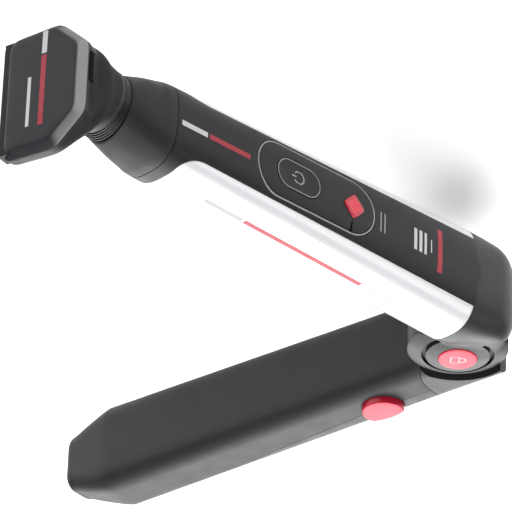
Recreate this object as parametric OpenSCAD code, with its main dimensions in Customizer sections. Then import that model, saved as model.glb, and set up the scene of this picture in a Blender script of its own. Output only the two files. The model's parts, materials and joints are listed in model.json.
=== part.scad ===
// Folding body groomer: a shaver body with a tilting wide head, and a telescoping handle on a
// round lock hinge. Z is the hinge axis, X runs from the hinge to the head, -Y is the front face.
// The origin is the centre of the hinge's underside.

/* [Body] */
// Hinge axis to the joint between body and nose
body_length = 201.5; // [195:0.5:210]
// Body thickness, front to back
body_depth = 34.6; // [32:0.2:38]
// Half width of the body at the hinge axis
body_half_tail = 27.2; // [25:0.1:29]
// Half width of the body where the nose begins
body_half_nose = 20.6; // [19:0.1:22]
// Squareness of the body section, 2 is an ellipse
body_square = 2.8; // [2.2:0.1:3.4]
// Distance of the body's middle in front of the hinge axis
body_offset = 16.4; // [15.6:0.1:17]
// Wall of the covers
wall = 2; // [1.6:0.1:2.4]
// Gap drawn at every seam
seam = 0.15; // [0.1:0.05:0.3]

/* [Keypad] */
// Middle of the keypad along the body
keypad_x = 120.6; // [116:0.5:125]
// Length of the keypad plate
keypad_l = 69; // [60:0.5:74]
// Width of the keypad plate
keypad_w = 26; // [22:0.5:28]
// Middle of the power button along the body
power_x = 131.4; // [128:0.2:134]
// Length of the power button
power_l = 25.6; // [22:0.2:28]
// Width of the power button
power_w = 14.4; // [12:0.2:16]
// Middle of the boost button along the body
boost_x = 98.5; // [96:0.5:101]
// Half diagonal of the boost button
boost_r = 6; // [5:0.1:7]
// Travel of the two front buttons
key_travel = 0.8; // [0.4:0.1:1]

/* [Hinge] */
// Height of the hinge's underside below the body's middle plane
hinge_half = 21.4; // [21:0.1:22]
// Radius of the two hinge ears
ear_r = 22.9; // [22:0.1:23.5]
// Radius of the recess that the ears sit in
recess_r = 25.3; // [24.6:0.1:26]
// Half height of the arm's barrel between the ears
barrel_half = 9.2; // [8:0.1:10]
// Radius of the arm's barrel
barrel_r = 22.6; // [20:0.1:23]
// Radius of the hinge cap inside the ring groove
cap_r = 16.3; // [15:0.1:16.6]
// Radius of the red lock button
lock_r = 9; // [8:0.1:9.5]
// Radius of the hinge pin
pin_r = 4; // [3:0.1:5]
// Handle's angle from the body, 0 is folded flat
fold = 81.2; // [0:0.1:135]

/* [Handle] */
// Hinge axis to the handle's free end
handle_length = 241; // [230:1:250]
// Inner face of the handle, measured from the hinge axis
grip_in = 2.8; // [2.6:0.1:3.4]
// Outer face of the handle at the hinge, measured from the hinge axis
grip_out = 29.4; // [28.8:0.1:30]
// Half width of the handle at the hinge
grip_half = 20.6; // [20:0.1:21]
// Half width of the handle near its free end
grip_half_end = 23.2; // [21:0.1:24]
// Where the arm ends and the sliding grip begins
grip_start = 30; // [29:0.5:32]
// How far the grip slides out
extend_travel = 75; // [50:1:80]
// Middle of the extension button along the handle
ext_d = 57.3; // [56:0.5:60]
// Middle of the extension button across the handle
ext_w = 20.7; // [20.2:0.1:21]
// Radius of the extension button
ext_r = 10; // [9:0.1:10]

/* [Head] */
// Hinge axis to the head's tilting axis
head_x = 229; // [228:0.5:230]
// Angle between the head's flat face and the body
head_tilt = 14; // [10:1:16]
// Tilting axis to the head's flat face
face_x = 26.2; // [25:0.1:27]
// Half length of the head
head_half = 31; // [29:0.1:32]

/* [Hidden] */

run = 0.05; // radial clearance of a running fit
$fn = 64;
body_y = -body_offset;
body_a = body_depth / 2;
front_y = body_y - body_a;
tail_x = 18;     // seam between the covers and the tail housing on the front face
panel_x0 = 21.7; // tail end of the side panels
panel_x1 = 195.4;
panel_back = -4; // seam between the side panels and the back cover
motor_x = 128;
slot_r = recess_r + 0.3; // slot in the tail that the arm's barrel turns in
latch_w = 13.2;
// Outline of the head's plate across and along the face: [y, half length]
plate = [[-8, 17], [7, 31], [33.4, 30]];
foil_x = [19.7, 22.9]; // the two foils, measured from the tilting axis

function power(v, p) = sign(v) * pow(abs(v), p);
function oval(a, b, n, steps) = [for (i = [0:steps - 1]) let (t = 360 * i / steps)
    [a * power(cos(t), 2 / n), b * power(sin(t), 2 / n)]];
function body_b(x) = body_half_tail + (body_half_nose - body_half_tail) * x / body_length;
function panel_edge(x) = 17.9 - 0.0185 * x; // half width of the black front between the panels
// Corner of a rounded outline: an arc about c from angle t0, a quarter turn
function arc(c, r, t0, steps) = [for (i = [0:steps]) let (t = t0 + 90 * i / steps)
    [c[0] + r * cos(t), c[1] + r * sin(t)]];
// Grip section across the handle (w) and along the hinge axis (z)
function grip_section(w0, w1, h, ri, ro) = concat(
    arc([w1 - ro, h - ro], ro, 0, 5), arc([w0 + ri, h - ri], ri, 90, 6),
    arc([w0 + ri, ri - h], ri, 180, 6), arc([w1 - ro, ro - h], ro, 270, 5));

module lifted() translate([0, 0, hinge_half]) children();
module in_handle() lifted() rotate([0, 0, fold]) children();
module in_head() lifted() translate([head_x, body_y, 0]) rotate([0, 0, -head_tilt]) children();
// Outline of the head's plate grown by g, in Y and Z
function head_outline(g) = [for (s = [1, -1]) for (i = [0:2]) let (p = plate[s > 0 ? i : 2 - i])
    [p[0] + g * [-1, -0.45, 1][s > 0 ? i : 2 - i], s * (p[1] + g * [0.45, 1, 1][s > 0 ? i : 2 - i])]];

// A thin slice across the body, the outline drawn in Y and Z
module across(x, y = body_y) translate([x, y, 0]) rotate([90, 0, 90]) linear_extrude(0.02) children();
module along_x(x0, x1, y = body_y) translate([x0, y, 0]) rotate([90, 0, 90]) linear_extrude(x1 - x0)
    children();
module box(x, y, z) translate([x[0], y[0], z[0]]) cube([x[1] - x[0], y[1] - y[0], z[1] - z[0]]);
module body_form(inset, x0, x1) hull() for (x = [x0, x1])
    across(x) polygon(oval(body_a - inset, body_b(x) - inset, body_square, 44));
module body_shell(x0, x1) difference() {
    body_form(0, x0, x1);
    body_form(wall, x0 - 1, x1 + 1);
}
// Everything on one side of the middle plane that the side panels cover, grown by g
module panel_zone(g) for (s = [0, 1]) mirror([0, 0, s]) intersection() {
    linear_extrude(40) union() {
        translate([0, -40]) square([panel_x1 - 10 + g, 40 + panel_back + g]);
        translate([panel_x1 - 12, front_y + 12 - g]) square([12 + g, panel_back - front_y - 12 + 2 * g]);
        translate([panel_x1 - 10, front_y + 12.6]) circle(10 + g);
    }
    rotate([90, 0, 0]) translate([0, 0, -10]) linear_extrude(60) polygon([
        [0, panel_edge(0) - g], [210, panel_edge(210) - g], [210, 40], [0, 40]]);
}
module stadium(l, w) union() {
    square([l - w, w], center = true);
    for (s = [-1, 1]) translate([s * (l - w) / 2, 0]) circle(w / 2);
}
// Front-face cutter: an outline drawn in X and Z, sunk from in front of the face to y
module into_front(x, y) translate([x, y, 0]) rotate([90, 0, 0]) linear_extrude(20) children();
module spring(r, wire, h, turns) linear_extrude(h, twist = -360 * turns, slices = 14 * turns, $fn = 6)
    translate([r, 0]) scale([1, 1.6]) circle(wire);
module grip_slice(d, w0, w1, h, ri, ro) translate([d, 0, 0]) rotate([90, 0, 90]) linear_extrude(0.02)
    polygon(grip_section(w0, w1, h, ri, ro));
module grip_form() union() {
    hull() {
        grip_slice(grip_start + seam, grip_in, grip_out, grip_half, 8, 4);
        grip_slice(handle_length - 28, grip_in, grip_out + 1.6, grip_half_end, 9, 6);
    }
    hull() {
        grip_slice(handle_length - 28, grip_in, grip_out + 1.6, grip_half_end, 9, 6);
        grip_slice(handle_length - 5, grip_in + 3, grip_out - 3, 15.4, 7, 6);
        grip_slice(handle_length, grip_in + 7, grip_out - 8, 10, 4, 4);
    }
}
// Region of the outer cover: its seam runs along the side and fades out towards the free end
module outer_zone(g) translate([0, 0, -30]) linear_extrude(60) polygon([
    [0, 20.5 + g], [66, 20.5 + g], [186 - g, 27.9], [189 - g, 40], [0, 40]]);
// Lightening pockets beside the rail, between the screws
module pockets(w0, w1, z0, z1) for (s = [0, 1]) mirror([0, 0, s]) for (d = [[74, 88], [96, 154]])
    box(d, [w0, w1], [z0, z1]);
module ext_outline(r, cut) intersection() {
    translate([ext_d, ext_w]) circle(r);
    translate([ext_d, ext_w - 18 + cut]) circle(24);
}
module button_well() union() {
    translate([0, 0, 17.9]) linear_extrude(10) ext_outline(ext_r + 0.25, 0.35);
    translate([0, 0, 13.4]) linear_extrude(4.5) ext_outline(ext_r + 1.8, 0.6);
}
module head_slice(x, g) translate([x, 0, 0]) rotate([90, 0, 90]) linear_extrude(0.02)
    polygon(head_outline(g));

module front_cover() color("#2b2b2c") lifted() difference() {
    intersection() {
        body_shell(tail_x + seam, body_length - seam);
        box([0, 260], [-60, panel_back], [-40, 40]);
    }
    panel_zone(seam);
    into_front(keypad_x, body_y - 5) stadium(keypad_l + 1.6, keypad_w + 1.6);
}
module back_cover() color("#262627") lifted() difference() {
    intersection() {
        body_shell(panel_x0 + seam, body_length - seam);
        box([0, 260], [panel_back + seam, 10], [-40, 40]);
    }
    translate([36, 5, 0]) rotate([90, 0, 0]) cylinder(h = 12, r = 3.1);
    translate([0, 0, -40]) cylinder(h = 80, r = ear_r + 0.25, $fn = 128);
    for (x = [60, 150]) for (s = [-1, 1]) translate([x, 0, 9 * s]) rotate([90, 0, 0]) union() {
        translate([0, 0, -5]) cylinder(h = 5.6, r = 2.3);
        cylinder(h = 6, r = 1.3);
    }
}
module side_panel() intersection() {
    body_shell(panel_x0, panel_x1 + 4);
    panel_zone(0);
    box([0, 260], [-60, panel_back], [0, 40]);
}
module left_side_panel() color("#e4e5e7") lifted() side_panel();
module right_side_panel() color("#e4e5e7") lifted() mirror([0, 0, 1]) side_panel();

// The body's tail: its section shrinks towards the hinge and ends in a round shoulder
module tail_form(g) intersection() {
    union() {
        hull() {
            across(panel_x0 - seam) polygon(oval(body_a + g, body_b(panel_x0) + g, body_square, 44));
            across(8) polygon(oval(body_a + g, 24.8 + g, 3.2, 44));
        }
        hull() {
            across(8) polygon(oval(body_a + g, 24.8 + g, 3.2, 44));
            across(-5) polygon(oval(body_a + g, 20.9 + g, 3.4, 44));
            across(-16) polygon(oval(body_a + g, 17.2 + g, 3.4, 44));
        }
    }
    translate([0, 0, -40]) linear_extrude(80) union() {
        translate([6, -13.3]) circle(20.4 + g);
        translate([6, -60]) square([60, 90]);
    }
}
module ear() rotate_extrude($fn = 128) polygon([[0, barrel_half + 0.4], [ear_r, barrel_half + 0.4],
    [ear_r, 17.5], [22.2, 18.7], [cap_r + 0.2, 21.2], [cap_r + 0.2, 19.2], [0, 19.2]]);
module tail_housing() color("#3a3a3b") lifted() difference() {
    union() {
        tail_form(0);
        for (s = [0, 1]) mirror([0, 0, s]) ear();
    }
    translate([0, 0, -barrel_half - 0.4]) cylinder(h = 2 * barrel_half + 0.8, r = slot_r, $fn = 128);
    cylinder(h = 40, r = lock_r + 0.08);
    translate([0, 0, -30]) cylinder(h = 40, r = pin_r + 0.02);
    translate([0, 0, -40]) cylinder(h = 40 - 19.2, r = cap_r);
    difference() {
        body_form(wall + 0.3, tail_x, 40);
        translate([0, 0, -40]) cylinder(h = 80, r = slot_r + 2, $fn = 128);
    }
    difference() {
        box([tail_x - seam, 60], [-60, body_y], [-panel_edge(20) - seam, panel_edge(20) + seam]);
        body_form(wall + seam, 10, 50);
    }
}
module hinge_cap() color("#3d3d3e") lifted() difference() {
    rotate_extrude($fn = 128) polygon([[lock_r + 0.08, 19.25], [cap_r, 19.25], [cap_r, 20.4],
        [cap_r - 1.4, 21.9], [lock_r + 0.08, 23.2]]);
    tail_form(0.05);
}
module hinge_base_cap() color("#3a3a3b") lifted() difference() {
    translate([0, 0, -hinge_half]) cylinder(h = 2.15, r = cap_r - 0.1, $fn = 128);
    translate([0, 0, -hinge_half + 1.2]) cylinder(h = 2, r = 7.1);
}
module hinge_pin() color("#b9bcc0") lifted() union() {
    translate([0, 0, -20.1]) cylinder(h = 20.1, r = pin_r);
    translate([0, 0, -20.1]) cylinder(h = 0.85, r = 7);
}
module lock_button() color("#d6283f") lifted() difference() {
    union() {
        translate([0, 0, 13.2]) cylinder(h = 10.2, r = lock_r);
        translate([0, 0, 23.4]) cylinder(h = 0.5, r1 = lock_r, r2 = lock_r - 0.5);
    }
    translate([0, 0, 13.1]) cylinder(h = 8, r = 6.2);
}
module lock_plunger() color("#d9dadb") lifted() difference() {
    union() {
        translate([0, 0, 4.5]) cylinder(h = 16.5, r = 6);
        translate([0, 0, 11.4]) cylinder(h = 1.7, r = 8.6);
    }
    translate([0, 0, 4]) cylinder(h = 13, r = 4.6);
}
module lock_spring() color("#c8cacc") lifted() translate([0, 0, 0.3]) spring(3.3, 0.45, 16.5, 6);
module lock_bush() color("#a9acb0") lifted() difference() {
    translate([0, 0, 1.6]) cylinder(h = barrel_half - 1.6, r = 9.6);
    translate([0, 0, 1]) cylinder(h = 10, r = 6.3);
    for (i = [0:11]) rotate([0, 0, 30 * i]) translate([6.9, 0, 1]) cylinder(h = 10, r = 1, $fn = 24);
}

module hinge_arm() color("#4a4a4b") in_handle() difference() {
    union() {
        translate([0, 0, -barrel_half]) cylinder(h = 2 * barrel_half, r = barrel_r, $fn = 128);
        difference() {
            hull() {
                grip_slice(-6.2, grip_in, grip_out, grip_half, 6, 3);
                grip_slice(grip_start, grip_in, grip_out, grip_half, 8, 4);
            }
            for (s = [0, 1]) mirror([0, 0, s]) translate([0, 0, barrel_half])
                cylinder(h = 20, r = recess_r, $fn = 128);
        }
    }
    translate([0, 0, -20]) cylinder(h = 40, r = pin_r + run);
    translate([0, 0, 1.6]) cylinder(h = 20, r = 9.62);
    translate([0, 0, -0.2]) cylinder(h = 4, r = 4.6);
    box([25.6, 40], [7.98, 19.02], [-10.82, 10.82]);
}
module handle_rail() color("#b4b7ba") in_handle() difference() {
    box([25.8, 170], [8, 19], [-10.8, 10.8]);
    box([ext_d - 2, ext_d + extend_travel + 3], [latch_w - 1.7, latch_w + 1.7], [6, 11]);
    box([40, 171], [10, 17], [-9, 4]);
}
module grip_inner_shell() color("#38393b") in_handle() difference() {
    grip_form();
    outer_zone(0);
    box([20, 176], [5.2, 21], [-12, 12]);
    box([175, 224], [7, 24], [-15.5, 15.5]);
    pockets(6.5, 21, 13.5, 17.5);
    button_well();
    translate([ext_d, latch_w, 8]) cylinder(h = 10, r = 1.8);
    for (d = [92, 158]) for (s = [-1, 1]) translate([d, 17, 15 * s])
        rotate([-90, 0, 0]) cylinder(h = 10, r = 1.25);
}
module grip_outer_cover() color("#4c4c4d") in_handle() difference() {
    intersection() {
        grip_form();
        outer_zone(seam);
    }
    button_well();
    pockets(20, 27, 3, 17.5);
    for (d = [92, 158]) for (s = [-1, 1]) translate([d, 17, 15 * s])
        rotate([-90, 0, 0]) cylinder(h = 10, r = 1.25);
}
module rail_guides() color("#e8e8e6") in_handle() for (d = [33, 78]) difference() {
    box([d, d + 8], [5.3, 20.4], [-11.9, 11.9]);
    box([d - 1, d + 9], [7.9, 19.1], [-10.9, 10.9]);
}
module grip_screws() color("#a9acb0") in_handle() for (s = [-1, 1]) for (d = [92, 158])
    translate([d, 17.2, 15 * s]) rotate([-90, 0, 0]) cylinder(h = 9.4, r = 1.2);
module extension_button() color("#e04a58") in_handle() difference() {
    union() {
        translate([0, 0, 15.7]) linear_extrude(8.5) ext_outline(ext_r, 0);
        translate([0, 0, 15.7]) linear_extrude(2) ext_outline(ext_r + 1.4, 0.2);
    }
    translate([ext_d, ext_w, 15]) cylinder(h = 6.2, r = 5.4);
    translate([ext_d, latch_w, 15]) cylinder(h = 4, r = 1.52);
}
module latch_pin() color("#b9bcc0") in_handle() translate([ext_d, latch_w, 9]) cylinder(h = 9.9, r = 1.5);
module latch_spring() color("#c8cacc") in_handle() translate([ext_d, ext_w, 13.45]) spring(4.4, 0.35, 7.6, 4);

module chassis() color("#6a6b6d") lifted() difference() {
    union() {
        box([32, 168], [-4.4, -3], [-12, 12]);
        for (x = [43, 115, 124, motor_x + 32.2]) box([x, x + 2], [-26.6, -3.5], [-12, 12]);
    }
    along_x(44, 115, -13.6) circle(9.3);
    along_x(motor_x + 30, motor_x + 36) circle(3.4);
    along_x(120, motor_x + 0.2) circle(8);
    translate([36, 0, 0]) rotate([90, 0, 0]) cylinder(h = 8, r = 3.2);
    for (x = [60, 150]) for (s = [-1, 1]) translate([x, 0, 9 * s]) rotate([90, 0, 0])
        cylinder(h = 10, r = 1.25);
}
module battery() color("#3f7d54") lifted() union() {
    along_x(46, 111.4, -13.6) circle(9);
    along_x(111.4, 113, -13.6) circle(3);
}
module circuit_board() color("#1f5a3a") lifted() box([64, 150], [-27.7, -26.7], [-11, 11]);
module tact_switches() color("#8a8c8f") lifted() for (x = [boost_x, power_x]) union() {
    box([x - 3, x + 3], [-28.9, -27.7], [-3, 3]);
    translate([x, -28.9, 0]) rotate([90, 0, 0]) cylinder(h = 0.5, r = 1.7);
}
module charging_jack() color("#1d1d1e") lifted() translate([36, 0.4, 0]) rotate([90, 0, 0]) difference() {
    cylinder(h = 11, r = 3);
    translate([0, 0, -1]) cylinder(h = 10, r = 1.8);
}
module motor() color("#b9bbbd") lifted() difference() {
    union() {
        along_x(motor_x + 0.3, motor_x + 32) circle(9.9);
        along_x(motor_x + 32, motor_x + 34) circle(3.3);
    }
    along_x(motor_x + 20, motor_x + 35) circle(1.2);
}
module motor_shaft() color("#d0d2d4") lifted() along_x(motor_x + 20.5, 183) circle(1.15);
module drive_hub() color("#e6e6e4") lifted() difference() {
    union() {
        along_x(168, 173) circle(4.4);
        along_x(173, 190) circle(3.4, $fn = 6);
    }
    along_x(167, 183.2) circle(1.16);
}
module attachment_collar() color("#2f2f30") lifted() difference() {
    union() {
        body_form(wall + 0.15, 194, 201.3);
        along_x(201.2, 209) circle(13);
    }
    along_x(190, 210) circle(11);
    translate([203.4, body_y, 0]) rotate([0, 90, 0]) rotate_extrude() translate([12, -0.8]) square([2, 1.6]);
}
module seal_ring() color("#141414") lifted() translate([203.4, body_y, 0]) rotate([0, 90, 0])
    rotate_extrude() translate([12.55, 0]) circle(0.5, $fn = 24);
module keypad_plate() color("#242425") lifted() difference() {
    intersection() {
        body_shell(60, 180);
        into_front(keypad_x, body_y - 5) stadium(keypad_l - 1, keypad_w - 1);
    }
    into_front(power_x, body_y - 5) stadium(power_l + 0.6, power_w + 0.6);
    into_front(boost_x, body_y - 5) rotate(45) square((boost_r + 0.3) * sqrt(2), center = true);
}
module keypad_trim() color("#8c8d8f") lifted() intersection() {
    body_shell(60, 180);
    into_front(keypad_x, body_y - 5) difference() {
        stadium(keypad_l + 1.4, keypad_w + 1.4);
        stadium(keypad_l - 0.8, keypad_w - 0.8);
    }
}
module body_screws() color("#8f9295") lifted() for (x = [60, 150]) for (s = [-1, 1])
    translate([x, 0.1, 9 * s]) rotate([90, 0, 0]) union() {
        cylinder(h = 0.65, r = 2.2);
        cylinder(h = 4.5, r = 1.2);
    }
module power_button() color("#2a2a2b") lifted() union() {
    intersection() {
        body_form(-0.25, 100, 160);
        into_front(power_x, front_y + 3) stadium(power_l, power_w);
    }
    translate([power_x, front_y + 3.3, 0]) rotate([90, 0, 0]) linear_extrude(0.7)
        stadium(power_l + 1.6, power_w + 1.6);
}
module boost_button() color("#d6283f") lifted() union() {
    intersection() {
        body_form(-0.7, 60, 140);
        into_front(boost_x, front_y + 3) rotate(45) square(boost_r * sqrt(2), center = true);
    }
    translate([boost_x, front_y + 3.3, 0]) rotate([90, 0, 0]) linear_extrude(0.7) circle(boost_r + 1);
}

// The nose tapers from the body's section to the round neck
module nose_cone() color("#3b3b3c") lifted() difference() {
    union() {
        hull() {
            across(body_length) polygon(oval(body_a, body_half_nose, body_square, 44));
            across(209) polygon(oval(16.9, 19.8, 2.5, 44));
        }
        hull() {
            across(209) polygon(oval(16.9, 19.8, 2.5, 44));
            across(217) polygon(oval(16.3, 18, 2.3, 44));
            across(225.5) polygon(oval(15.3, 15.6, 2, 44));
        }
    }
    along_x(200, 210.6) circle(13.08);
    along_x(205, 218) circle(11.2);
    along_x(217.9, 222) circle(3.3 + run);
    along_x(221.9, 230) circle(11.5);
}
module drive_shaft() color("#d9dadb") lifted() difference() {
    union() {
        along_x(178, 200) circle(6);
        along_x(199.9, 224.5) circle(3.3);
        along_x(224, head_x) circle(1.6);
        translate([head_x, body_y, 0]) sphere(2.5);
    }
    along_x(177, 196) circle(3.75, $fn = 6);
}
// A disc of the bellows, k of the way from the nose to the tilted neck ring
module bellows_disc(k, r) translate([7.75 * k - 3.15, 0.78 * (k - 1), 0]) rotate([0, 0, head_tilt * (1 - k)])
    rotate([0, 90, 0]) cylinder(h = 0.1, r = r, $fn = 48);
module bellows() color("#1b1b1c") in_head() difference() {
    hull() for (k = [0, 0.985]) bellows_disc(k, 14.6);
    hull() for (k = [-0.04, 1.03]) bellows_disc(k, 12.3);
}
// A straight block with the head's outline grown by g
module head_block(x0, x1, g) translate([x0, 0, 0]) rotate([90, 0, 90]) linear_extrude(x1 - x0)
    polygon(head_outline(g));
module neck_disc(x, r) translate([x, 0, 0]) rotate([0, 90, 0]) cylinder(h = 0.02, r = r, $fn = 48);
module rear_oval(x) translate([x, 7, 0]) rotate([90, 0, 90]) linear_extrude(0.02)
    polygon(oval(19, 21.5, 2.6, 40));
module foil_opening(x0, x1) box([x0, x1], [28.2, 40], [-28.1, 28.1]);
module neck_ring() color("#2c2c2d") in_head() rotate([0, 90, 0]) difference() {
    translate([0, 0, 4.65]) cylinder(h = 2, r = 15.4);
    cylinder(h = 10, r = 12.2);
}
module head_rear_housing() color("#343435") in_head() difference() {
    union() {
        hull() {
            neck_disc(6.7, 15.5);
            rear_oval(11.5);
        }
        hull() {
            rear_oval(11.5);
            head_slice(16.5, -0.6);
        }
        hull() {
            head_slice(16.5, -0.6);
            head_slice(20, 0);
        }
    }
    translate([6, 0, 0]) rotate([0, 90, 0]) cylinder(h = 5.3, r = 12.2);
    box([11.2, 21], [-4.4, 22], [-15.6, 15.6]);
    head_block(17.6, 21, -2);
    foil_opening(17.6, 21);
}
module head_front_cover() color("#3c3d3f") in_head() difference() {
    hull() {
        head_slice(20.15, 0);
        head_slice(22.6, 0);
        head_slice(face_x - 0.02, -3);
    }
    head_block(20, 24.6, -2);
    foil_opening(20, 24.8);
}
module head_clip() color("#4a4a4c") in_head() union() {
    box([18.2, 21], [-8.9, -8.05], [-13, 1]);
    box([18.9, 20.2], [-9.4, -8.05], [-12, 0]);
}
module eccentric() color("#e6e6e4") in_head() rotate([0, 90, 0]) difference() {
    union() {
        translate([0, 0, -1.2]) cylinder(h = 8.2, r = 5);
        translate([0, 1.2, 6.9]) cylinder(h = 8.5, r = 1);
    }
    translate([0, 0, -2]) cylinder(h = 6, r = 2.6);
}
module cutter_carrier() color("#d9dadb") in_head() difference() {
    union() {
        box([11.5, 13.9], [-4, 21.5], [-8, 8]);
        box([11.5, 24.3], [19.5, 21.5], [-13.5, 13.5]);
        box([18.4, 24.3], [21.4, 27.6], [-22, 22]);
    }
    box([11, 15], [-2.6, 2.6], [-3.8, 3.8]);
}
module cutter_blocks() color("#c9ccd0") in_head() for (x = foil_x) union() {
    box([x - 1, x + 1], [27.65, 34.4], [-23, 23]);
    translate([x, 34.4, -23]) cylinder(h = 46, r = 1);
}
module foil_frame() color("#2a2a2b") in_head() difference() {
    box([17.9, 24.5], [28.4, 34.4], [-27.9, 27.9]);
    for (x = foil_x) box([x - 1.3, x + 1.3], [28, 35], [-25.4, 25.4]);
}
module foil_pair() color("#d7dadd") in_head() for (x = foil_x) difference() {
    translate([x, 34.5, -25.2]) cylinder(h = 50.4, r = 1.55);
    translate([x, 34.5, -26]) cylinder(h = 52, r = 1.3);
    box([x - 3, x + 3], [30, 34.5], [-30, 30]);
}

front_cover();
back_cover();
left_side_panel();
right_side_panel();
tail_housing();
chassis();
battery();
circuit_board();
tact_switches();
charging_jack();
motor();
attachment_collar();
seal_ring();
hinge_pin();
hinge_cap();
hinge_base_cap();
keypad_plate();
keypad_trim();
body_screws();
motor_shaft();
drive_hub();
power_button();
boost_button();
lock_button();
lock_plunger();
lock_spring();
hinge_arm();
lock_bush();
handle_rail();
grip_inner_shell();
grip_outer_cover();
rail_guides();
grip_screws();
extension_button();
latch_pin();
latch_spring();
nose_cone();
bellows();
drive_shaft();
neck_ring();
head_rear_housing();
head_front_cover();
head_clip();
eccentric();
cutter_carrier();
cutter_blocks();
foil_frame();
foil_pair();
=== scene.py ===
import json
import math

import bmesh
import bpy
import numpy as np
from mathutils import Matrix, Vector


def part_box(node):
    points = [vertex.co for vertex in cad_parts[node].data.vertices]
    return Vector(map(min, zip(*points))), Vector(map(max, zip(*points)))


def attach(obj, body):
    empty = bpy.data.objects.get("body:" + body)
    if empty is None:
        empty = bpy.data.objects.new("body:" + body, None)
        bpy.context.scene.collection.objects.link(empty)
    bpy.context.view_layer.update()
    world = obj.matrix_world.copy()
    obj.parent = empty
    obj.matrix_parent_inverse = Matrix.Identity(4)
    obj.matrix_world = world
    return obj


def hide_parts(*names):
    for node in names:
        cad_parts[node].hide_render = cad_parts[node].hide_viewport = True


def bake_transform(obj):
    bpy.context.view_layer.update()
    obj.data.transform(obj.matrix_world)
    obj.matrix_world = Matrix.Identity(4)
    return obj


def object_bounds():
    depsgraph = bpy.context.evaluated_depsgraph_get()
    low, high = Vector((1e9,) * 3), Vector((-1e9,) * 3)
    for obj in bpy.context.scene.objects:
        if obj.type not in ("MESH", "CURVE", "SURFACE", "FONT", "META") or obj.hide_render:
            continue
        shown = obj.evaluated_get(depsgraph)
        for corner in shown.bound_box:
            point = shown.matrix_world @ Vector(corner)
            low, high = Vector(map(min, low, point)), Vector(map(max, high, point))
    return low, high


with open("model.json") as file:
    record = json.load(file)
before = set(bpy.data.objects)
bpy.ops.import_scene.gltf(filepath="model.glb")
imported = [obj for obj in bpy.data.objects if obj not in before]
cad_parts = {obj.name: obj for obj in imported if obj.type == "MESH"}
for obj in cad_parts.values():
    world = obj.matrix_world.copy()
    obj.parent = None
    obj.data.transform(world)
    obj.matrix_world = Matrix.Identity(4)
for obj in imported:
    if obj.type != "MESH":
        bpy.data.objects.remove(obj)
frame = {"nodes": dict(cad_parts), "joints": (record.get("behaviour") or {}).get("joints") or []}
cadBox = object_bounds()
nodes = frame["nodes"]
print("frame: %d nodes" % len(nodes))

# where things are: lengths in mm, z measured from the groomer's middle plane
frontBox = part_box("front_cover")
middleZ = 0.5 * (frontBox[0].z + frontBox[1].z)
slideAxis = [j for j in frame["joints"] if j["name"] == "handle_extend"][0]["axis"]
foldAngle = math.atan2(slideAxis[1], slideAxis[0])
flexJoint = [j for j in frame["joints"] if j["name"] == "head_flex"][0]
headPivot = Vector(flexJoint["pos_m"])
headTurn = math.radians(-14)
bodyFrame = Matrix.Translation((0, 0, middleZ)) @ Matrix.Scale(0.001, 4)
handleFrame = bodyFrame @ Matrix.Rotation(foldAngle, 4, "Z")
headFrame = Matrix.Translation(headPivot) @ Matrix.Rotation(headTurn, 4, "Z") @ Matrix.Scale(0.001, 4)

body = {
    "halfDepth": 17.3,      # middle of the section to the front face
    "middleY": -16.4,
    "halfTail": 27.2,       # half width at the hinge axis
    "taper": 0.03275,       # half width lost for each mm towards the nose
    "square": 2.8,          # 2 is an ellipse, more is boxier
    "length": 201.5,
    "tailSeam": 18.0,       # where the black front ends, near the hinge
    "panelStart": 21.7,
    "panelBack": -4.0,      # y of the seam between panel and back cover
    "panelCorner": 183.2,   # where the panel's end starts to round off
    "gap": 0.16,
    "wall": 1.4,
    "edge": 0.28,           # rounding along the seams
}


def halfWidth(x):
    return body["halfTail"] - body["taper"] * x


def panelEdge(x):
    return 17.9 - 0.0185 * x


def bodyPoint(x, t, grow=0.0):
    # t goes round the section from the middle of the front (0) over +Z (pi/2) to the back (pi)
    c, s, p = math.cos(t), math.sin(t), 2 / body["square"]
    y = body["middleY"] - (body["halfDepth"] + grow) * math.copysign(abs(c) ** p, c)
    z = (halfWidth(x) + grow) * math.copysign(abs(s) ** p, s)
    return (x, y, z)


def angleAtZ(x, z):
    return math.asin(min(1, abs(z) / halfWidth(x)) ** (body["square"] / 2)) * (1 if z >= 0 else -1)


def angleAtY(y):
    q = (y - body["middleY"]) / body["halfDepth"]
    return math.acos(-math.copysign(min(1, abs(q)) ** (body["square"] / 2), q))


def onFront(x, z, lift=0.0):
    q = min(0.999999, abs(z) / (halfWidth(x) + lift))
    depth = (body["halfDepth"] + lift) * (1 - q ** body["square"]) ** (1 / body["square"])
    return (x, body["middleY"] - depth, z)


def spread(a, b, n):
    return [a + (b - a) * i / (n - 1) for i in range(n)]


def smooth(t):
    t = min(1.0, max(0.0, t))
    return t * t * (3 - 2 * t)


# meshes
def gridFaces(rows, cols, start=0, wrap=False):
    last = cols if wrap else cols - 1
    return [(start + i * cols + j, start + i * cols + (j + 1) % cols,
             start + (i + 1) * cols + (j + 1) % cols, start + (i + 1) * cols + j)
            for i in range(rows - 1) for j in range(last)]


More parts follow.
